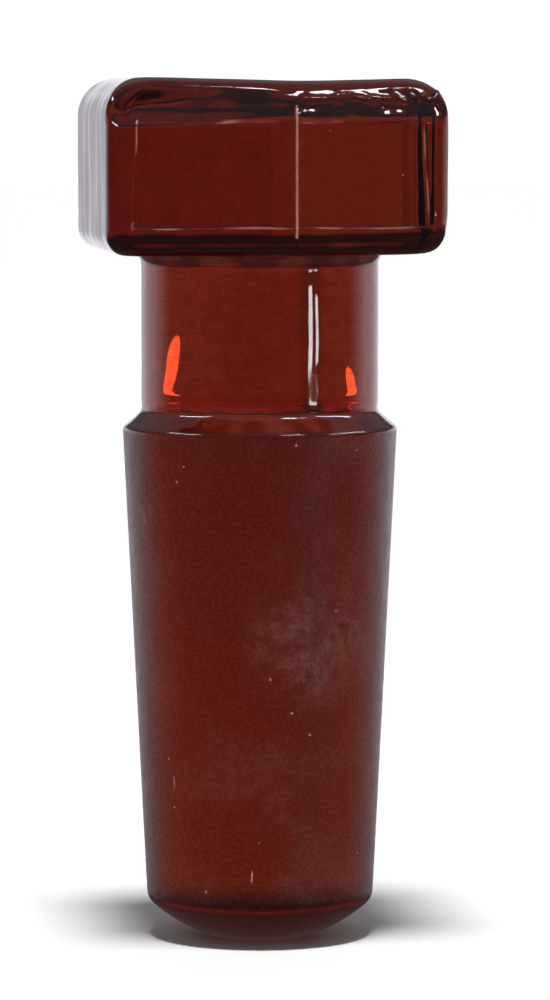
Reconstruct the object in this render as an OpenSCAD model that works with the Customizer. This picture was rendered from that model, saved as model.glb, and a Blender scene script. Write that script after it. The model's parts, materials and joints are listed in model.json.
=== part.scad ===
// Solid glass stopper, moulded in one piece.
// A block-shaped head to grip, a round neck, a sloping shoulder and a conical plug that is ground to seal.
// Millimetres, +Z up. The origin is the middle of the small flat foot at the lower end of the plug.
// The narrow ends of the head face +X and -X, and its broad faces +Y and -Y.

/* [Ground plug] */
// Diameter at the large end, just under the shoulder
plug_d = 24; // [22:0.1:34.5]
// Length along the axis, down to where the side would meet the dome of the lower end
plug_l = 41.5; // [25:0.1:60]
// Loss of diameter for each millimetre of length, 1 in 10 on a standard joint
plug_taper = 0.1; // [0.06:0.005:0.14]

/* [Lower end] */
// Diameter of the flat foot that the stopper stands on
foot_d = 9; // [4:0.5:14]
// Height of the dome, from the foot to where it would meet the plug's side
dome_h = 3.3; // [1.5:0.1:5]
// Rounding of the edge between the dome and the plug's side
end_edge_r = 1.5; // [0.6:0.1:3]

/* [Shoulder and neck] */
// Diameter of the neck
neck_d = 20.8; // [14:0.1:21.5]
// Length from the widest ring of the shoulder to the underside of the head
neck_l = 15.2; // [10:0.1:30]
// Height of the shoulder's slope
shoulder_h = 1.5; // [1:0.1:4]
// Rounding of the shoulder's widest ring
shoulder_edge_r = 0.6; // [0.2:0.1:1]
// Fillet between the shoulder and the neck
shoulder_fillet_r = 0.8; // [0.2:0.1:1.2]
// Fillet between the neck and the underside of the head
head_fillet_r = 1.8; // [0.4:0.1:2]

/* [Head] */
// Width from end to end
head_w = 29.7; // [28:0.1:45]
// Thickness from front to back
head_t = 24; // [23.5:0.1:40]
// Height of the head
head_h = 15.3; // [8:0.1:30]
// Rounding of the top edges
head_top_r = 3.5; // [0.5:0.1:5]
// Rounding of the bottom edges
head_bottom_r = 2; // [0.5:0.1:2.5]
// Rounding of the four upright edges
head_corner_r = 1.9; // [0.5:0.1:4]

/* [Hidden] */

// Straight pieces that each kind of arc is divided into
ARC_STEPS = 8;
CORNER_STEPS = 4;
SIDES = 96;
// How far the neck's solid runs up inside the head, so that the two are one
NECK_OVERLAP = 3;
// The fillet under the head stops short of a full quarter turn, where the head's bottom edge covers it
FILLET_TURN = 40;

plug_r = plug_d / 2;
neck_r = neck_d / 2;
foot_r = foot_d / 2;
shoulder_z = dome_h + plug_l;
head_bottom_z = shoulder_z + neck_l;
head_top_z = head_bottom_z + head_h;

// Points of the outline are [radius, height] pairs.
// The plug's side and the dome would meet at end_corner. The dome is part of a sphere through that point
// and the rim of the foot, with its centre on the axis.
side_way = [plug_taper / 2, 1] / norm([plug_taper / 2, 1]);
side_normal = [side_way.y, -side_way.x];
end_corner = [plug_r - plug_taper / 2 * plug_l, dome_h];
dome_centre = [0, (pow(norm(end_corner), 2) - pow(foot_r, 2)) / (2 * dome_h)];
dome_r = norm(dome_centre - [foot_r, 0]);

// The rounded edge touches the side and the dome from inside, so its centre stands end_edge_r in from both
offset_corner = end_corner - end_edge_r * side_normal;
to_corner = offset_corner - dome_centre;
along = to_corner * side_way;
edge_shift = -along - sqrt(pow(along, 2) - to_corner * to_corner + pow(dome_r - end_edge_r, 2));
edge_centre = offset_corner + edge_shift * side_way;

// Points of a circular arc
function arc(centre, r, from, to, steps = ARC_STEPS) =
    [for (i = [0:steps]) let (a = from + (to - from) * i / steps) centre + r * [cos(a), sin(a)]];

// Points of the arc of radius r that rounds the corner at b on the way from a to c
function rounded(a, b, c, r) =
    let (u = (a - b) / norm(a - b),
         v = (c - b) / norm(c - b),
         half = acos(u * v) / 2,
         middle = b + (u + v) / norm(u + v) * r / sin(half),
         start = b + u * r / tan(half) - middle,
         end = b + v * r / tan(half) - middle,
         from = atan2(start.y, start.x),
         turn = atan2(end.y, end.x) - from,
         shortest = turn > 180 ? turn - 360 : turn < -180 ? turn + 360 : turn)
    arc(middle, r, from, from + shortest);

// Outline of the plug, shoulder and neck, from the foot up to inside the head
function turned_outline() =
    let (dome_from = asin(foot_r / dome_r) - 90,
         dome_to = atan2(edge_centre.y - dome_centre.y, edge_centre.x),
         shoulder = [plug_r, shoulder_z],
         neck_foot = [neck_r, shoulder_z + shoulder_h],
         neck_top = [neck_r, head_bottom_z],
         fillet_centre = [neck_r + head_fillet_r, head_bottom_z - head_fillet_r],
         fillet = arc(fillet_centre, head_fillet_r, 180, 180 - FILLET_TURN),
         fillet_end_r = fillet[ARC_STEPS].x)
    concat(
        [[0, 0]],
        arc(dome_centre, dome_r, dome_from, dome_to),
        arc(edge_centre, end_edge_r, dome_to, atan2(side_normal.y, side_normal.x)),
        rounded(end_corner, shoulder, neck_foot, shoulder_edge_r),
        rounded(shoulder, neck_foot, neck_top, shoulder_fillet_r),
        fillet,
        [[fillet_end_r, head_bottom_z + NECK_OVERLAP], [0, head_bottom_z + NECK_OVERLAP]]);

// Level outline of the head at height z, where inset is how far its sides stand in from the widest section
function head_section(inset, z) =
    let (x = head_w / 2 - inset - head_corner_r,
         y = head_t / 2 - inset - head_corner_r,
         centres = [[x, y], [-x, y], [-x, -y], [x, -y]])
    [for (k = [0:3], i = [0:CORNER_STEPS])
        let (a = 90 * (k + i / CORNER_STEPS))
        [centres[k].x + head_corner_r * cos(a), centres[k].y + head_corner_r * sin(a), z]];

// A closed solid through a stack of outlines that all have the same number of points
module stack(sections) {
    count = len(sections[0]);
    last = len(sections) - 1;
    walls = [for (k = [0:last - 1], i = [0:count - 1])
        let (j = (i + 1) % count)
        [k * count + i, (k + 1) * count + i, (k + 1) * count + j, k * count + j]];
    floor_face = [[for (i = [0:count - 1]) i]];
    roof_face = [[for (i = [0:count - 1]) (last + 1) * count - 1 - i]];
    polyhedron([for (section = sections) each section], concat(floor_face, walls, roof_face));
}

module head() {
    bottom = [for (i = [0:ARC_STEPS])
        let (a = 90 * i / ARC_STEPS)
        head_section(head_bottom_r * (1 - sin(a)), head_bottom_z + head_bottom_r * (1 - cos(a)))];
    top = [for (i = [0:ARC_STEPS])
        let (a = 90 * i / ARC_STEPS)
        head_section(head_top_r * (1 - cos(a)), head_top_z - head_top_r * (1 - sin(a)))];
    stack(concat(bottom, top));
}

module stopper() {
    color("#6e2110") {
        rotate_extrude($fn = SIDES) polygon(turned_outline());
        head();
    }
}

stopper();
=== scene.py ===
import json
import math

import bmesh
import bpy
from mathutils import Euler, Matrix, Quaternion, Vector, noise


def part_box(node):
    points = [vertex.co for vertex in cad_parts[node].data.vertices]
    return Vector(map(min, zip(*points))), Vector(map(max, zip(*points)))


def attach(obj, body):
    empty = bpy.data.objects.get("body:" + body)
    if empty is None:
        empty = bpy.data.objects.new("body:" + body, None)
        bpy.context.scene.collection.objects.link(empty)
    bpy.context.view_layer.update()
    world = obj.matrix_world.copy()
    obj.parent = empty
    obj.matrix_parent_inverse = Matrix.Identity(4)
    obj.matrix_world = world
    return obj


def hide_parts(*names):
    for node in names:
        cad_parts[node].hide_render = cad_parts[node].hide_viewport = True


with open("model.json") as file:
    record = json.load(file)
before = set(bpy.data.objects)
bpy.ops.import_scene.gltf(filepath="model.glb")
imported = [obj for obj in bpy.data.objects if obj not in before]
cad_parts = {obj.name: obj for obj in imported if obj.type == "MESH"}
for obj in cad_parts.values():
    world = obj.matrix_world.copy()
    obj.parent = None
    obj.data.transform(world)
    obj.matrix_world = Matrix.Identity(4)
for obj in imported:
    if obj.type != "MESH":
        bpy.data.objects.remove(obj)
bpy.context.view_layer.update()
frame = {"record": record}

# One amber glass stopper: a block-shaped head, a round neck and shoulder, and a ground conical plug.
# Everything is in metres. Sizes written in millimetres are multiplied by MM.

MM = 0.001


# ---------------------------------------------------------------- sizes

def mount_height(name):
    """Height of one of the record's mounts above the foot."""
    return next(m["pos_m"][2] for m in frame["record"]["mounts"] if m["name"] == name)


LOW, HIGH = (Vector(corner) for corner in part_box("stopper"))
HEAD_TOP = HIGH.z
HEAD_X = HIGH.x
SHOULDER = mount_height("ground_plug")

PLUG_R = 12.0 * MM
# Loss of radius for each metre of height
PLUG_SLOPE = 0.05
DOME_H = 3.3 * MM
END_EDGE_R = 1.5 * MM
FOOT_R = 4.5 * MM
SHOULDER_RISE = 1.5 * MM
SHOULDER_EDGE_R = 0.6 * MM
SHOULDER_FILLET_R = 0.8 * MM
NECK_R = 10.4 * MM
NECK_FILLET_R = 1.8 * MM
NECK_FILLET_TURN = math.radians(40)
HEAD_Y = 12.0 * MM
HEAD_H = 15.3 * MM
HEAD_BOTTOM = HEAD_TOP - HEAD_H
HEAD_TOP_R = 3.5 * MM
HEAD_BOTTOM_R = 2.0 * MM
HEAD_CORNER_R = 1.9 * MM
# The mould's seam stands a little to one side of the middle
SEAM_X = 1.4 * MM
# The sunk panel on the front: half its width at the top, and how much more that is at the bottom
PANEL_X = 12.3 * MM
PANEL_FLARE = 0.5 * MM
PANEL_LOW = HEAD_BOTTOM + 2.4 * MM
PANEL_HIGH = HEAD_TOP - 3.9 * MM

# The mesh is finer along the panel's sides and the seam
PANEL_COLUMNS = 12.5 * MM
FINE_STEP = 0.08 * MM
FINE_STEPS = 5
FINE_CLEAR = 0.48 * MM
CORNER_STEPS = 10
BOTTOM_STEPS = 14
SIDE_STEPS = 24
TOP_STEPS = 34
FLAT_STEPS = 16


# ---------------------------------------------------------------- outline of the glass

def rounded(before, corner, after, radius, steps):
    """Points of the arc that rounds a corner of the outline, each a (radius, height) pair."""
    b = Vector(corner)
    u = (Vector(before) - b).normalized()
    v = (Vector(after) - b).normalized()
    half = u.angle(v) / 2
    middle = b + (u + v).normalized() * radius / math.sin(half)
    start = b + u * radius / math.tan(half) - middle
    end = b + v * radius / math.tan(half) - middle
    a = math.atan2(start.y, start.x)
    turn = (math.atan2(end.y, end.x) - a + math.pi) % (2 * math.pi) - math.pi
    return [middle + radius * Vector((math.cos(a + turn * i / steps), math.sin(a + turn * i / steps)))
            for i in range(steps + 1)]


def straight(start, end, steps):
    """Points strictly between start and end."""
    a, b = Vector(start), Vector(end)
    return [a.lerp(b, i / steps) for i in range(1, steps)]


def turned_outline():
    """The round part of the glass, from the middle of the foot up to the underside of the head."""
    corner = Vector((PLUG_R - PLUG_SLOPE * (SHOULDER - DOME_H), DOME_H))
    dome_z = (corner.length_squared - FOOT_R ** 2) / (2 * DOME_H)
    dome_r = math.hypot(dome_z, FOOT_R)
    foot_a = math.asin(FOOT_R / dome_r)
    corner_a = math.asin(corner.x / dome_r)

    def on_dome(a):
        return Vector((dome_r * math.sin(a), dome_z - dome_r * math.cos(a)))

    shoulder = Vector((PLUG_R, SHOULDER))
    neck_foot = Vector((NECK_R, SHOULDER + SHOULDER_RISE))
    neck_top = Vector((NECK_R, HEAD_BOTTOM - NECK_FILLET_R * math.sin(NECK_FILLET_TURN)))
    before_corner = on_dome(corner_a - 0.02)
    lower_edge = rounded(before_corner, corner, shoulder, END_EDGE_R, steps=12)
    dome_end = math.asin(lower_edge[0].x / dome_r)
    ring = rounded(corner, shoulder, neck_foot, SHOULDER_EDGE_R, steps=8)
    foot_fillet = rounded(shoulder, neck_foot, neck_top, SHOULDER_FILLET_R, steps=8)

    points = [Vector((FOOT_R * i / 4, 0)) for i in range(1, 5)]
    points += [on_dome(foot_a + (dome_end - foot_a) * i / 14) for i in range(1, 14)]
    points += lower_edge + straight(lower_edge[-1], ring[0], steps=40)
    points += ring + straight(ring[-1], foot_fillet[0], steps=4)
    points += foot_fillet + straight(foot_fillet[-1], neck_top, steps=40)
    for i in range(8):
        a = NECK_FILLET_TURN * i / 7
        points.append(neck_top + NECK_FILLET_R * Vector((1 - math.cos(a), math.sin(a))))
    return points


def crowded(places, fine_at):
    """The same places, with a finely spaced row of them round each one in fine_at."""
    kept = [p for p in places if all(abs(p - f) > FINE_CLEAR for f in fine_at)]
    return sorted(kept + [f + FINE_STEP * i for f in fine_at for i in range(-FINE_STEPS, FINE_STEPS + 1)])


def side_points(half, spacing):
    """Evenly spaced places along one flat side of the head, strictly between -half and half."""
    count = round(2 * half / spacing)
    return [half * (2 * i / count - 1) for i in range(1, count)]


def head_section(inset):
    """Level outline of the head, set in from its widest one, anticlockwise from its +X end."""
    end, face = HEAD_X - HEAD_CORNER_R, HEAD_Y - HEAD_CORNER_R
    front = crowded(side_points(end, 0.2 * MM), [-PANEL_COLUMNS, SEAM_X, PANEL_COLUMNS])
    back = crowded(side_points(end, 0.5 * MM), [SEAM_X])
    along_y = side_points(face, 0.5 * MM)
    x, y = HEAD_X - inset, HEAD_Y - inset
    cx, cy = x - HEAD_CORNER_R, y - HEAD_CORNER_R

    def corner(sx, sy, start):
        turns = [math.radians(start + 90 / CORNER_STEPS * i) for i in range(CORNER_STEPS + 1)]
        r = HEAD_CORNER_R
        return [(sx * cx + r * math.cos(a), sy * cy + r * math.sin(a)) for a in turns]

    points = [(x, p * cy / face) for p in along_y] + corner(1, 1, 0)
    points += [(p * cx / end, y) for p in reversed(back)] + corner(-1, 1, 90)
    points += [(-x, p * cy / face) for p in reversed(along_y)] + corner(-1, -1, 180)
    points += [(p * cx / end, -y) for p in front] + corner(1, -1, 270)
    return points


def glass_rings():
    """Level rings of points with the same number in each, from the foot to the top."""
    around = [Vector(p).normalized() for p in head_section(0)]
    rings = [(p.y, [d * p.x for d in around]) for p in turned_outline()]
    neck_edge = rings[-1][1]
    inner = [Vector(p) for p in head_section(HEAD_BOTTOM_R)]
    overhang = list(zip(neck_edge, inner))
    for i in range(1, 4):
        rings.append((HEAD_BOTTOM, [n.lerp(h, i / 4) if h.length > n.length else n for n, h in overhang]))
    for i in range(BOTTOM_STEPS + 1):
        a = math.pi / 2 * i / BOTTOM_STEPS
        section = [Vector(p) for p in head_section(HEAD_BOTTOM_R * (1 - math.sin(a)))]
        z = HEAD_BOTTOM + HEAD_BOTTOM_R * (1 - math.cos(a))
        rings.append((z, [h if h.length > n.length else n for n, h in zip(neck_edge, section)]))
    low, high = HEAD_BOTTOM + HEAD_BOTTOM_R, HEAD_TOP - HEAD_TOP_R
    levels = [low + (high - low) * i / SIDE_STEPS for i in range(1, SIDE_STEPS)]
    rings += [(z, head_section(0)) for z in crowded(levels, [PANEL_LOW, PANEL_HIGH - 0.4 * MM])]
    for i in range(TOP_STEPS + 1):
        a = math.pi / 2 * i / TOP_STEPS
        inset = HEAD_TOP_R * (1 - math.cos(a))
        rings.append((high + HEAD_TOP_R * math.sin(a), head_section(inset)))
    rim = rings[-1][1]
    rings += [(HEAD_TOP, [Vector(p) * (1 - i / FLAT_STEPS) for p in rim]) for i in range(1, FLAT_STEPS)]
    return rings


# ---------------------------------------------------------------- mould marks

# How deep the marks are that the mould and the fire-polish left
NECK_WAVE = 0.035 * MM
NECK_STREAK = 0.012 * MM
SHOULDER_WAVE = 0.12 * MM
HEAD_WAVE = 0.12 * MM
TOP_DISH = 0.28 * MM
LOW_CORNER = 0.25 * MM
END_STREAK = 0.05 * MM
FACE_DISH = 0.12 * MM
FACE_TOP_SLOPE = 0.35 * MM
FACE_BOTTOM_SLOPE = 0.30 * MM
RIM_WAVE = 0.16 * MM
BACK_END_SLOPE = 0.5 * MM
PANEL_DEPTH = 0.10 * MM
EDGE_WRINKLE = 0.09 * MM
# Gained for each metre away from the seam, so it has no unit
EDGE_SLOPE = 0.045

# How high the raised lines stand, and half their width
SEAM_RIDGE = 0.12 * MM
SEAM_HALF_WIDTH = 0.12 * MM
PANEL_BEAD = 0.05 * MM
PANEL_BEAD_HALF_WIDTH = 0.10 * MM
FOLD_RIDGE = 0.13 * MM
FOLD_HALF_WIDTH = 0.2 * MM

# How much painted sheen each place has all over, and how much more it has in patches: pale paint for the
# sheen on the shoulder and its fillet, and for the highlights along the head's panel outline and seam
SLOPE_PAINTED_SHEEN = 0.09
SLOPE_PATCHES = 0.10
FILLET_PAINTED_SHEEN = 0.06
FILLET_PATCHES = 0.12
OUTLINE_PAINTED_HIGHLIGHT = 0.1
OUTLINE_PATCHES = 0.6


def smooth(edge0, edge1, x):
    """0 on edge0's side, 1 on edge1's side and an S-curve between them."""
    t = min(max((x - edge0) / (edge1 - edge0), 0), 1)
    return t * t * (3 - 2 * t)


def ripple(point, wavelength, seed):
    """Smooth noise from 0 to 1 with bumps about a wavelength apart."""
    return 0.5 + 0.5 * noise.noise(point / wavelength + Vector((seed, 2.3 * seed, -seed)))


def bell(x, width):
    """1 at 0, falling smoothly to nothing over about twice the width."""
    return math.exp(-(x / width) ** 2)


def seam_height(z):
    """The mould seam runs up the broad faces and fades out below the top edge."""
    return 1 - smooth(HEAD_TOP - 2.7 * MM, HEAD_TOP - 2.3 * MM, z)


def inside_panel(x, z):
    """How far a point of the front face lies inside the outline of its sunk panel."""
    wave = 0.3 * MM * (ripple(Vector((x, 0, z)), 3.5 * MM, seed=5) - 0.5)
    half = PANEL_X + PANEL_FLARE * (PANEL_HIGH - z) / (PANEL_HIGH - PANEL_LOW)
    return min(half - abs(x), z - PANEL_LOW, PANEL_HIGH - z) + wave


def neck_marks(point):
    """Soft waves, and fine streaks along the neck."""
    x, y, z = point
    waves = NECK_WAVE * ripple(point, 4.5 * MM, seed=2)
    return waves + NECK_STREAK * ripple(Vector((x, y, 0.15 * z)), 1.3 * MM, seed=7)


def shoulder_marks(point):
    """Closer waves, from the plug's large end to just above the shoulder's slope."""
    below_neck = 1 - smooth(SHOULDER + 1.5 * MM, SHOULDER + 2.3 * MM, point.z)
    return below_neck * SHOULDER_WAVE * ripple(point, 1.9 * MM, seed=3)


def head_marks(point):
    """The top is dished, the underside rises to the +X end and the narrow ends are streaked upright."""
    x, y, z = point
    marks = HEAD_WAVE * ripple(point, 6.5 * MM, seed=1)
    marks += TOP_DISH * smooth(HEAD_TOP - 2 * MM, HEAD_TOP, z) * bell(x - 3 * MM, 8 * MM)
    near_bottom = 1 - smooth(HEAD_BOTTOM + 1 * MM, HEAD_BOTTOM + 4 * MM, z)
    marks += LOW_CORNER * smooth(9 * MM, 15 * MM, x) * near_bottom
    on_end = smooth(HEAD_X - 1 * MM, HEAD_X - 0.2 * MM, abs(x))
    marks += on_end * END_STREAK * ripple(Vector((0, y, 0.12 * z)), 1.8 * MM, seed=8)
    on_face = smooth(HEAD_Y - 2 * MM, HEAD_Y - 0.2 * MM, abs(y))
    if y > 0:
        return marks + on_face * (face_marks(point) + back_marks(point))
    return marks + on_face * (face_marks(point) + front_marks(point)) - fold_ridge(point)


def face_marks(point):
    """Both broad faces are dished and slope in above and below, where they wave, and carry the seam."""
    x, y, z = point
    marks = FACE_DISH * (1 + bell(z - (HEAD_TOP + HEAD_BOTTOM) / 2, 5 * MM))
    marks += FACE_TOP_SLOPE * smooth(HEAD_TOP - 4.2 * MM, HEAD_TOP - 2.2 * MM, z)
    marks += FACE_BOTTOM_SLOPE * (1 - smooth(HEAD_BOTTOM + 0.8 * MM, HEAD_BOTTOM + 2.7 * MM, z))
    near_top = smooth(HEAD_TOP - 5.5 * MM, HEAD_TOP - 3 * MM, z)
    near_bottom = 1 - smooth(HEAD_BOTTOM + 1 * MM, HEAD_BOTTOM + 3 * MM, z)
    waves = RIM_WAVE * ripple(Vector((x, 0.5 * y, 1.5 * z)), 2.6 * MM, seed=9)
    marks += (near_top + near_bottom) * waves
    return marks - SEAM_RIDGE * bell(x - SEAM_X, SEAM_HALF_WIDTH) * seam_height(z)


def back_marks(point):
    """The back face slopes in towards both ends."""
    return BACK_END_SLOPE * smooth(10.5 * MM, 14.5 * MM, abs(point.x))


def front_marks(point):
    """The front face has a sunk panel with a bead round it, and its top edge is wrinkled past the seam."""
    x, y, z = point
    inside = inside_panel(x, z)
    marks = PANEL_DEPTH * smooth(-0.15 * MM, 0.15 * MM, inside)
    marks -= PANEL_BEAD * bell(inside, PANEL_BEAD_HALF_WIDTH)
    below_top = 1 - smooth(HEAD_TOP - 1 * MM, HEAD_TOP, z)
    top_edge = smooth(HEAD_TOP - 4.5 * MM, HEAD_TOP - 2.8 * MM, z) * below_top
    wrinkles = EDGE_WRINKLE * ripple(Vector((x, 0.5 * y, 0.8 * z)), 0.95 * MM, seed=4)
    marks += top_edge * past_seam(x) * wrinkles
    return marks + top_edge * EDGE_SLOPE * max(SEAM_X - x, 0)


def past_seam(x):
    """0 up to the seam and 1 on its +X side."""
    return smooth(SEAM_X, SEAM_X + 0.6 * MM, x)


def fold_ridge(point):
    """A raised fold in the glass that wanders along the front top edge, on the +X side of the seam."""
    x, y, z = point
    fold_z = HEAD_TOP - 1.5 * MM + 0.9 * MM * (ripple(Vector((x, 0, 0)), 0.8 * MM, seed=10) - 0.5)
    near_front = smooth(-HEAD_Y + 3 * MM, -HEAD_Y + 2 * MM, y)
    return past_seam(x) * near_front * FOLD_RIDGE * bell(z - fold_z, FOLD_HALF_WIDTH)


def sink(point):
    """How far the glass lies in from the true shape at a point. The ground plug is true."""
    head = smooth(HEAD_BOTTOM - 1 * MM, HEAD_BOTTOM + 1 * MM, point.z)
    polished = smooth(SHOULDER, SHOULDER + 0.5 * MM, point.z)
    turned = (1 - head) * neck_marks(point) + shoulder_marks(point)
    return head * head_marks(point) + polished * turned


def painted_sheen_at(point):
    """How much painted sheen a point has, from 0 to 1: pale paint for the highlights on the head's sharp
    lines and the sheen on the shoulder.
    """
    x, y, z = point
    patchy = smooth(0.42, 0.62, ripple(point, 2.2 * MM, seed=6))
    if z < HEAD_BOTTOM:
        slope_top = SHOULDER + 1.7 * MM
        below_neck = 1 - smooth(slope_top, slope_top + 1 * MM, z)
        slope = smooth(SHOULDER, SHOULDER + 0.3 * MM, z) * below_neck
        fillet = smooth(HEAD_BOTTOM - 1.6 * MM, HEAD_BOTTOM - 0.6 * MM, z)
        on_slope = slope * (SLOPE_PAINTED_SHEEN + SLOPE_PATCHES * patchy)
        return on_slope + fillet * (FILLET_PAINTED_SHEEN + FILLET_PATCHES * patchy)
    if y > 1 * MM - HEAD_Y or z < HEAD_BOTTOM + 1.5 * MM:
        return 0.0
    outline = bell(inside_panel(x, z), 0.08 * MM) * (OUTLINE_PAINTED_HIGHLIGHT + OUTLINE_PATCHES * patchy)
    seam = bell(x - SEAM_X, 0.11 * MM) * seam_height(z)
    return min(1.0, outline + seam)


# ---------------------------------------------------------------- the piece

def make_glass():
    """The stopper as one closed mesh, with the mould marks pressed in and the painted sheen kept at each
    point.
    """
    mesh = bpy.data.meshes.new("stopper_glass")
    bm = bmesh.new()
    rows = [[bm.verts.new((p[0], p[1], z)) for p in ring] for z, ring in glass_rings()]
    count = len(rows[0])
    for below, above in zip(rows, rows[1:]):
        for i in range(count):
            j = (i + 1) % count
            bm.faces.new((below[i], below[j], above[j], above[i]))
    foot = bm.verts.new((0, 0, 0))
    top = bm.verts.new((0, 0, HEAD_TOP))
    for i in range(count):
        j = (i + 1) % count
        bm.faces.new((foot, rows[0][j], rows[0][i]))
        bm.faces.new((top, rows[-1][i], rows[-1][j]))
    # Some rings run together where the neck goes up into the head
    bmesh.ops.remove_doubles(bm, verts=bm.verts, dist=0.001 * MM)
    # Painted highlights on the head's sharp lines and painted sheen on the shoulder, kept as a number at
    # each point
    painted_sheen = bm.verts.layers.float.new("painted_sheen")
    for v in bm.verts:
        v[painted_sheen] = painted_sheen_at(v.co)
    bm.normal_update()
    moves = [(v, v.normal * sink(v.co)) for v in bm.verts]
    for v, move in moves:
        v.co -= move
    for f in bm.faces:
        f.smooth = True
    bm.to_mesh(mesh)
    bm.free()
    ob = bpy.data.objects.new("stopper_glass", mesh)
    bpy.context.scene.collection.objects.link(ob)
    return ob


# ---------------------------------------------------------------- node trees

class NodeTree:
    """Makes and links the nodes of one material or world."""

    def __init__(self, owner):
        owner.use_nodes = True
        self.nodes = owner.node_tree.nodes
        self.links = owner.node_tree.links

    def node(self, kind, **settings):
        n = self.nodes.new(kind)
        for name, value in settings.items():
            setattr(n, name, value)
        return n

    def feed(self, socket, value):
        """Link a socket to another node's output, or set it to a plain value."""
        if isinstance(value, bpy.types.NodeSocket):
            self.links.new(value, socket)
        else:
            socket.default_value = value

    def math(self, operation, a, b):
        n = self.node("ShaderNodeMath", operation=operation)
        self.feed(n.inputs[0], a)
        self.feed(n.inputs[1], b)
        return n.outputs[0]

    def plus(self, a, b):
        return self.math("ADD", a, b)

    def minus(self, a, b):
        return self.math("SUBTRACT", a, b)

    def times(self, a, b):
        return self.math("MULTIPLY", a, b)

    def ramp(self, value, start, end, low=0.0, high=1.0):
        """The low number up to start, the high one past end and an S-curve between."""
        n = self.node("ShaderNodeMapRange", interpolation_type="SMOOTHSTEP")
        for name, number in zip(("From Min", "From Max", "To Min", "To Max"), (start, end, low, high)):
            n.inputs[name].default_value = number
        self.links.new(value, n.inputs["Value"])
        return n.outputs["Result"]

    def mix_colours(self, factor, a, b):
        """Colour a where the factor is 0, colour b where it is 1."""
        n = self.node("ShaderNodeMix", data_type="RGBA")
        for name, value in (("Factor", factor), ("A", a), ("B", b)):
            self.feed(n.inputs[name], value)
        return n.outputs["Result"]

    def mix_shaders(self, factor, a, b):
        """Shader a where the factor is 0, shader b where it is 1."""
        n = self.node("ShaderNodeMixShader")
        for socket, value in zip(n.inputs, (factor, a, b)):
            self.links.new(value, socket)
        return n.outputs[0]


# ---------------------------------------------------------------- glass material

GLASS_IOR = 1.52
# The glass absorbs (1 - colour) * density in each channel, per metre
AMBER = (0.76, 0.4975, 0.35, 1)
AMBER_DENSITY = 400

POLISHED_ROUGHNESS = 0.02
SATIN_ROUGHNESS = 0.3
GROUND_ROUGHNESS = 0.30
GROUND_MOTTLE = 0.10
GRAIN_SIZE = 0.22 * MM
GRAIN_HEIGHT = 0.03 * MM

# Tints of the surface: streaks, a painted lighter shade for one half of the head, and the painted
# highlights and sheen
STREAK_DARK = (0.70, 0.36, 0.30, 1)
STREAK_LIGHT = (0.97, 0.62, 0.50, 1)
PAINTED_LIGHT_HALF_TINT = (1, 1, 0.95, 1)
PAINTED_SHEEN_RED = (0.95, 0.20, 0.12, 1)
PAINTED_SHEEN_PALE = (1, 0.52, 0.38, 1)

# How milky the ground surface is, and how much more its clouds and painted sheen patch, chips and scratches
# are
GROUND_MILK = 0.004
SHEEN_PATCH_AND_CLOUD_MILK = 0.002
SHEEN_PATCH_AND_CLOUD_MOTTLE_MILK = 0.05
CHIP_MILK = 0.35
# The same for the painted highlights and sheen, and for specks in the head
PAINTED_SHEEN_MILK = 0.45
SPECK_MILK = 0.3

# Strength of the sandy grain in the colour, and how much more it is on the ground surface
SAND = 0.7
GROUND_SAND = 1.1

# Middle of a painted sheen on the front of the plug, a paler milky patch where light from the front right
# falls, and how far it reaches
SHEEN_PATCH_AT = (3.5 * MM, -10.5 * MM, 27 * MM)
SHEEN_PATCH_INNER_R = 2.5 * MM
SHEEN_PATCH_OUTER_R = 7.5 * MM
# Strength of the fainter clouds elsewhere on the plug
OTHER_CLOUDS = 0.6


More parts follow.
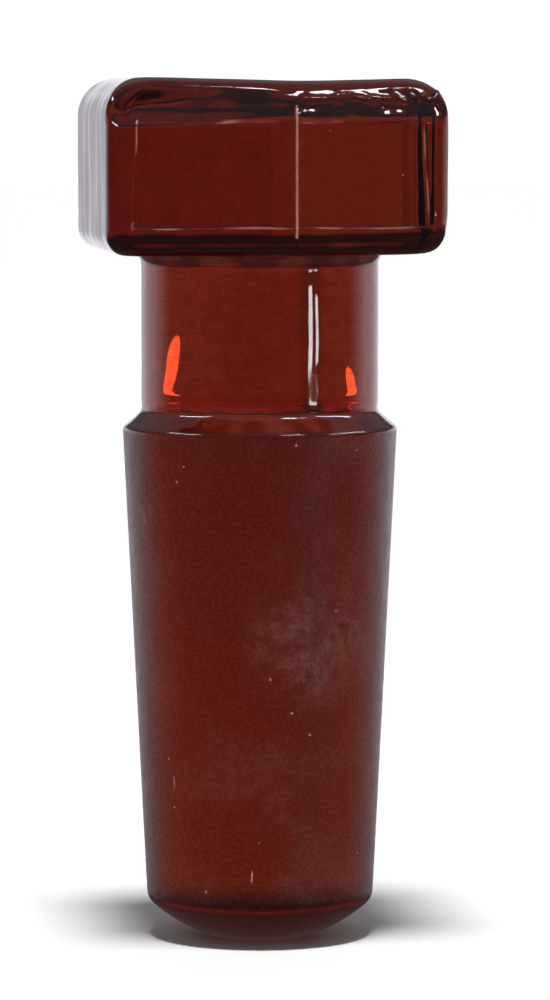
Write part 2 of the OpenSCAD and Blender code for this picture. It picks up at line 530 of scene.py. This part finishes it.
def amber_glass():
    """Amber glass: polished above the plug, matt and grainy on the plug, satin on the rounded lower end."""
    mat = bpy.data.materials.new("amber_glass")
    tree = NodeTree(mat)
    shader = tree.nodes["Principled BSDF"]
    place = tree.node("ShaderNodeTexCoord").outputs["Object"]
    split = tree.node("ShaderNodeSeparateXYZ")
    tree.links.new(place, split.inputs[0])
    across = split.outputs["X"]
    height = split.outputs["Z"]

    def stretched(stretch):
        """Places on the object, drawn out along its axis where stretch is above 1."""
        squeeze = tree.node("ShaderNodeMapping")
        squeeze.inputs["Scale"].default_value = (1, 1, 1 / stretch)
        tree.links.new(place, squeeze.inputs["Vector"])
        return squeeze.outputs[0]

    def clouds(size, start, end, stretch=1):
        """Soft patches of the given size, from 0 where the noise is at start to 1 where it is at end."""
        n = tree.node("ShaderNodeTexNoise")
        n.inputs["Scale"].default_value = 1 / size
        n.inputs["Detail"].default_value = 4
        tree.links.new(stretched(stretch), n.inputs["Vector"])
        return tree.ramp(n.outputs["Fac"], start, end)

    def dots(spacing, size, stretch=1):
        """Small scattered chips, or scratches along the axis where stretch is above 1."""
        n = tree.node("ShaderNodeTexVoronoi")
        n.inputs["Scale"].default_value = 1 / spacing
        tree.links.new(stretched(stretch), n.inputs["Vector"])
        return tree.ramp(n.outputs["Distance"], size / spacing, 0.5 * size / spacing)

    # Where each finish is
    above_end = tree.ramp(height, DOME_H + 0.3 * MM, DOME_H + 0.9 * MM)
    above_plug = tree.ramp(height, SHOULDER - 0.35 * MM, SHOULDER - 0.1 * MM)
    ground = tree.minus(above_end, above_plug)
    satin = tree.minus(1.0, above_end)
    in_head = tree.ramp(height, HEAD_BOTTOM, HEAD_BOTTOM + 1.5 * MM)
    # The head on the +X side of the seam: the specks go there, and so does a painted lighter shade, as if
    # more light fell on that half
    specked_painted_light_half = tree.times(tree.ramp(across, SEAM_X - 0.1 * MM, SEAM_X + 0.1 * MM), in_head)
    painted_sheen = tree.node("ShaderNodeAttribute", attribute_name="painted_sheen").outputs["Fac"]
    mottle = clouds(0.9 * MM, 0.3, 0.7)

    # Roughness, and the grain that grinding left
    ground_rough = tree.times(ground, tree.plus(GROUND_ROUGHNESS, tree.times(mottle, GROUND_MOTTLE)))
    rough = tree.plus(ground_rough, tree.times(satin, SATIN_ROUGHNESS))
    tree.links.new(tree.plus(rough, POLISHED_ROUGHNESS), shader.inputs["Roughness"])
    grain = tree.node("ShaderNodeTexNoise")
    grain.inputs["Scale"].default_value = 1 / GRAIN_SIZE
    grain.inputs["Detail"].default_value = 3
    tree.links.new(place, grain.inputs["Vector"])
    bump = tree.node("ShaderNodeBump")
    bump.inputs["Distance"].default_value = GRAIN_HEIGHT
    tree.links.new(ground, bump.inputs["Strength"])
    tree.links.new(grain.outputs["Fac"], bump.inputs["Height"])
    tree.links.new(bump.outputs["Normal"], shader.inputs["Normal"])

    # Milky places let less light through: clouds, the painted sheen patch, chips and scratches on the plug,
    # the painted highlights and sheen, specks
    apart = tree.node("ShaderNodeVectorMath", operation="DISTANCE")
    apart.inputs[1].default_value = SHEEN_PATCH_AT
    tree.links.new(place, apart.inputs[0])
    # A paler patch on the front right of the plug: painted sheen
    painted_sheen_patch = tree.ramp(apart.outputs["Value"], SHEEN_PATCH_OUTER_R, SHEEN_PATCH_INNER_R)
    sheen_patch_and_clouds = tree.plus(painted_sheen_patch, tree.times(clouds(8 * MM, 0.48, 0.66), OTHER_CLOUDS))
    sheen_patch_and_cloudy = tree.times(sheen_patch_and_clouds, tree.plus(SHEEN_PATCH_AND_CLOUD_MILK, tree.times(mottle, SHEEN_PATCH_AND_CLOUD_MOTTLE_MILK)))
    chips = tree.plus(dots(2.1 * MM, 0.15 * MM), dots(2.8 * MM, 0.13 * MM, stretch=6))
    specks = tree.times(dots(2.3 * MM, 0.10 * MM), specked_painted_light_half)
    milky = tree.times(ground, tree.plus(tree.plus(sheen_patch_and_cloudy, GROUND_MILK), tree.times(chips, CHIP_MILK)))
    milky = tree.plus(milky, tree.times(painted_sheen, PAINTED_SHEEN_MILK))
    milky = tree.plus(milky, tree.times(specks, SPECK_MILK))
    tree.links.new(tree.minus(1.0, milky), shader.inputs["Transmission Weight"])

    # Colour: streaks and sandy grain, a painted lighter shade on one half of the head, and pale painted
    # highlights and sheen
    sandy_strength = tree.plus(SAND, tree.times(ground, GROUND_SAND))
    sandy = tree.times(tree.minus(clouds(0.3 * MM, 0.35, 0.65), 0.5), sandy_strength)
    streaks = tree.plus(clouds(1.1 * MM, 0.2, 0.8, stretch=1.5), sandy)
    streaky = tree.mix_colours(streaks, STREAK_DARK, STREAK_LIGHT)
    painted_lightness = tree.plus(0.6, tree.times(clouds(0.6 * MM, 0.3, 0.7), 0.5))
    # Painted light: the +X half of the head is tinted lighter, as if more light fell on it
    tinted_with_painted_light = tree.mix_colours(tree.times(specked_painted_light_half, painted_lightness), streaky, PAINTED_LIGHT_HALF_TINT)
    # Painted highlights and sheen: red where faint, pale where strong
    painted_sheen_tint = tree.mix_colours(tree.ramp(painted_sheen, 0.2, 0.6), PAINTED_SHEEN_RED, PAINTED_SHEEN_PALE)
    colour = tree.mix_colours(tree.ramp(painted_sheen, 0.0, 0.06), tinted_with_painted_light, painted_sheen_tint)
    tree.links.new(colour, shader.inputs["Base Color"])

    shader.inputs["IOR"].default_value = GLASS_IOR
    absorb = tree.node("ShaderNodeVolumeAbsorption")
    absorb.inputs["Color"].default_value = AMBER
    absorb.inputs["Density"].default_value = AMBER_DENSITY
    tree.links.new(absorb.outputs[0], tree.nodes["Material Output"].inputs["Volume"])
    return mat


# ---------------------------------------------------------------- camera, floor and light

CAMERA_TURN = math.radians(-9)
# Along the floor from the stopper, up from it and to the right
CAMERA_DISTANCE = 0.4289
CAMERA_HEIGHT = 0.0754
CAMERA_SIDESTEP = 0.00133
CAMERA_DIP = math.radians(4.945)
# Millimetres, both
CAMERA_LENS = 176.8
CAMERA_SENSOR = 36

SIGHT = Vector((-math.sin(CAMERA_TURN), math.cos(CAMERA_TURN), 0))
RIGHT = Vector((math.cos(CAMERA_TURN), math.sin(CAMERA_TURN), 0))
UP = Vector((0, 0, 1))


def make_camera():
    data = bpy.data.cameras.new("camera")
    data.lens = CAMERA_LENS
    data.sensor_width = CAMERA_SENSOR
    data.clip_start = 0.01
    data.clip_end = 20
    ob = bpy.data.objects.new("camera", data)
    ob.location = RIGHT * CAMERA_SIDESTEP - SIGHT * CAMERA_DISTANCE + UP * CAMERA_HEIGHT
    ob.rotation_euler = Euler((math.pi / 2 - CAMERA_DIP, 0, CAMERA_TURN))
    bpy.context.scene.collection.objects.link(ob)
    bpy.context.scene.camera = ob


FLOOR_SIZE = 6
FLOOR_COLOUR = (0.9, 0.9, 0.9, 1)
FLOOR_ROUGHNESS = 0.6


def make_floor():
    """A pale floor at the foot's height, which the glass neither mirrors nor shows through itself."""
    bpy.ops.mesh.primitive_plane_add(size=FLOOR_SIZE, location=(0, 0, LOW.z))
    floor = bpy.context.object
    floor.name = "floor"
    mat = bpy.data.materials.new("floor")
    shader = NodeTree(mat).nodes["Principled BSDF"]
    shader.inputs["Base Color"].default_value = FLOOR_COLOUR
    shader.inputs["Roughness"].default_value = FLOOR_ROUGHNESS
    floor.data.materials.append(mat)
    floor.visible_transmission = False
    floor.visible_glossy = False


def from_camera(azimuth, elevation):
    """A direction from the stopper. Azimuth 0 is away from the camera and 90 to its right, in degrees."""
    a, e = math.radians(azimuth), math.radians(elevation)
    return (SIGHT * math.cos(a) + RIGHT * math.sin(a)) * math.cos(e) + UP * math.sin(e)


def softbox(name, azimuth, elevation, distance, width, height, radiance, roll=0, shape="RECTANGLE"):
    """A flat lamp that faces the stopper. Its radiance is what the glass sees of it."""
    data = bpy.data.lights.new(name, "AREA")
    data.shape = shape
    data.size = width
    data.size_y = height
    data.energy = radiance * math.pi * width * height
    ob = bpy.data.objects.new(name, data)
    middle = UP * HEAD_TOP / 2
    ob.location = middle + from_camera(azimuth, elevation) * distance
    facing = (middle - ob.location).to_track_quat("-Z", "Y")
    ob.rotation_euler = (facing @ Quaternion((0, 0, 1), math.radians(roll))).to_euler()
    ob.visible_camera = False
    ob.visible_diffuse = False
    bpy.context.scene.collection.objects.link(ob)
    return ob


# Brightness of what the glass sees round it: the room, its ceiling, and the wall behind the stopper
ROOM_LIGHT = 0.10
CEILING_LIGHT = 0.28
WALL_LIGHT = 1.05
ROOM_TINT = (0.96, 0.93, 1.0, 1)
# An upright stretch of that wall, to the left, is dimmer by this factor
SIDE_PANEL = 0.68
# The wall behind the camera and the table are seen through the glass, but aren't mirrored in it
FACING_WALL = 1.0
TABLE_LIGHT = 0.65
# What lights the floor all round, and the white that the camera sees behind everything
AROUND_LIGHT = 0.18
BACKDROP_LIGHT = 1.1
WHITE = (1, 1, 1, 1)


def make_world():
    """White behind everything the camera sees. The glass sees a bright wall behind it and a dim room."""
    world = bpy.data.worlds.new("studio")
    tree = NodeTree(world)
    place = tree.node("ShaderNodeTexCoord")
    turn = tree.node("ShaderNodeVectorRotate", rotation_type="Z_AXIS")
    turn.inputs["Angle"].default_value = -CAMERA_TURN
    tree.links.new(place.outputs["Generated"], turn.inputs["Vector"])
    split = tree.node("ShaderNodeSeparateXYZ")
    tree.links.new(turn.outputs[0], split.inputs[0])
    # Parts of a unit direction: to the right, straight on from the camera, and up
    right, ahead, up = split.outputs["X"], split.outputs["Y"], split.outputs["Z"]

    level = tree.times(tree.ramp(up, -0.21, -0.14), tree.ramp(up, 0.10, 0.20, 1.0, 0.0))
    middle = tree.ramp(ahead, 0.75, 0.95, 0.8 * WALL_LIGHT, WALL_LIGHT)
    behind = tree.times(tree.ramp(ahead, 0.05, 0.6), middle)
    panel_left = tree.ramp(right, -0.42, -0.34, 1.0, SIDE_PANEL)
    panel_right = tree.ramp(right, -0.27, -0.20, SIDE_PANEL, 1.0)
    wall = tree.times(tree.times(behind, level), tree.math("MAXIMUM", panel_left, panel_right))
    above = tree.ramp(up, 0.1, 0.6, ROOM_LIGHT, CEILING_LIGHT)
    facing = tree.times(tree.ramp(ahead, -0.35, -0.6, 0.0, FACING_WALL), level)
    table = tree.ramp(up, -0.23, -0.30, 0.0, TABLE_LIGHT)
    ray = tree.node("ShaderNodeLightPath")
    through = tree.times(ray.outputs["Is Transmission Ray"], tree.plus(facing, table))

    def glow(colour, strength):
        n = tree.node("ShaderNodeBackground")
        n.inputs["Color"].default_value = colour
        tree.feed(n.inputs["Strength"], strength)
        return n.outputs[0]

    room = glow(ROOM_TINT, tree.plus(tree.plus(wall, above), through))
    seen = tree.mix_shaders(ray.outputs["Is Diffuse Ray"], room, glow(WHITE, AROUND_LIGHT))
    seen = tree.mix_shaders(ray.outputs["Is Camera Ray"], seen, glow(WHITE, BACKDROP_LIGHT))
    tree.links.new(seen, tree.nodes["World Output"].inputs["Surface"])
    bpy.context.scene.world = world


OVERHEAD_LIGHT = 3.4
OVERHEAD_SPREAD = math.radians(10)
GLINT_RADIANCE = 5.5
# Name, azimuth, elevation, width, height and roll of the lamps that make the two glints low in the neck
GLINTS = [
    ("glint_left", 36.5, -2.2, 0.115, 0.010, 6),
    ("glint_right", -39.5, -2.47, 0.096, 0.008, -5),
]


def make_overhead():
    """A broad light high in front, which lights the floor and throws the shadow."""
    data = bpy.data.lights.new("overhead", "SUN")
    data.energy = OVERHEAD_LIGHT
    data.angle = OVERHEAD_SPREAD
    overhead = bpy.data.objects.new("overhead", data)
    overhead.rotation_euler = (-from_camera(180, 82)).to_track_quat("-Z", "Y").to_euler()
    overhead.visible_glossy = False
    overhead.visible_transmission = False
    bpy.context.scene.collection.objects.link(overhead)


def make_softboxes():
    """Three long lamps high up, the three panes of a window low in front, and the glints' two behind."""
    softbox("right_high", 85, 41, distance=0.7, width=0.55, height=0.06, radiance=20)
    softbox("left_high", -100, 41, distance=0.7, width=0.40, height=0.06, radiance=20)
    softbox("front_high", 137.5, 60, distance=0.7, width=0.18, height=0.10, radiance=25)
    softbox("window_a", 130.4, -1.24, distance=0.5, width=0.034, height=0.0156, radiance=14)
    softbox("window_b", 123.8, -1.4, distance=0.5, width=0.022, height=0.0130, radiance=14)
    softbox("window_c", 127.5, -2.65, distance=0.5, width=0.060, height=0.005, radiance=12)
    for name, azimuth, elevation, width, height, roll in GLINTS:
        glint = softbox(name, azimuth, elevation, 0.5, width, height, GLINT_RADIANCE, roll, "ELLIPSE")
        glint.visible_glossy = False


make_camera()
glass = make_glass()
glass.data.materials.append(amber_glass())
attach(glass, "root")
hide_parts("stopper")
make_floor()
make_world()
make_overhead()
make_softboxes()
bpy.context.scene.view_settings.view_transform = "Standard"
